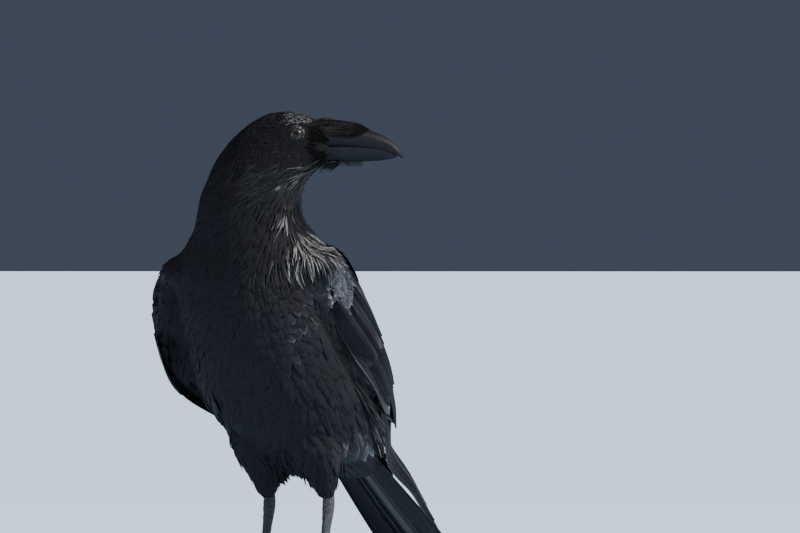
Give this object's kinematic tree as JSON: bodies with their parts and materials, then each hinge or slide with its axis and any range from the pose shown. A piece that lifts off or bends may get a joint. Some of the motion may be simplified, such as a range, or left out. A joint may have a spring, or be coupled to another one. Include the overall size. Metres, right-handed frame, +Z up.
{
  "type": "raven",
  "caption": "Life-size still model of a common raven standing upright with its head turned over its left shoulder and its wings folded.",
  "frame": {"origin": "on the floor, under the middle of the bird's box", "axes": "+Z up; the breast faces -Y and the tail runs back along +Y; the bird's left is +X; the bill points to +X and a little to +Y"},
  "size_m": [0.213, 0.3946, 0.3983],
  "materials": {
    "plumage": "black body feathers with a faint blue and violet gloss",
    "flight_feathers": "smooth black wing and tail feathers with a blue gloss",
    "horn": "satin black horn of the bill and claws",
    "leg_skin": "black scaled skin of the shanks and toes",
    "eye": "dark brown iris under a clear, glossy cornea"
  },
  "bodies": {
    "root": {"trunk": "plumage", "neck": "plumage", "head": "plumage", "nasal_tuft": "plumage", "bill_upper": "horn", "bill_lower": "horn", "eye_right": "eye", "eye_left": "eye", "tail": "flight_feathers", "wing_left_coverts": "plumage", "wing_left_secondaries": "flight_feathers", "wing_left_primaries": "flight_feathers", "thigh_left": "plumage", "shank_left": "leg_skin", "toe_left_inner": "leg_skin", "claw_left_inner": "horn", "toe_left_middle": "leg_skin", "claw_left_middle": "horn", "toe_left_outer": "leg_skin", "claw_left_outer": "horn", "toe_left_hind": "leg_skin", "claw_left_hind": "horn", "wing_right_coverts": "plumage", "wing_right_secondaries": "flight_feathers", "wing_right_primaries": "flight_feathers", "thigh_right": "plumage", "shank_right": "leg_skin", "toe_right_inner": "leg_skin", "claw_right_inner": "horn", "toe_right_middle": "leg_skin", "claw_right_middle": "horn", "toe_right_outer": "leg_skin", "claw_right_outer": "horn", "toe_right_hind": "leg_skin", "claw_right_hind": "horn"}
  },
  "joints": []
}
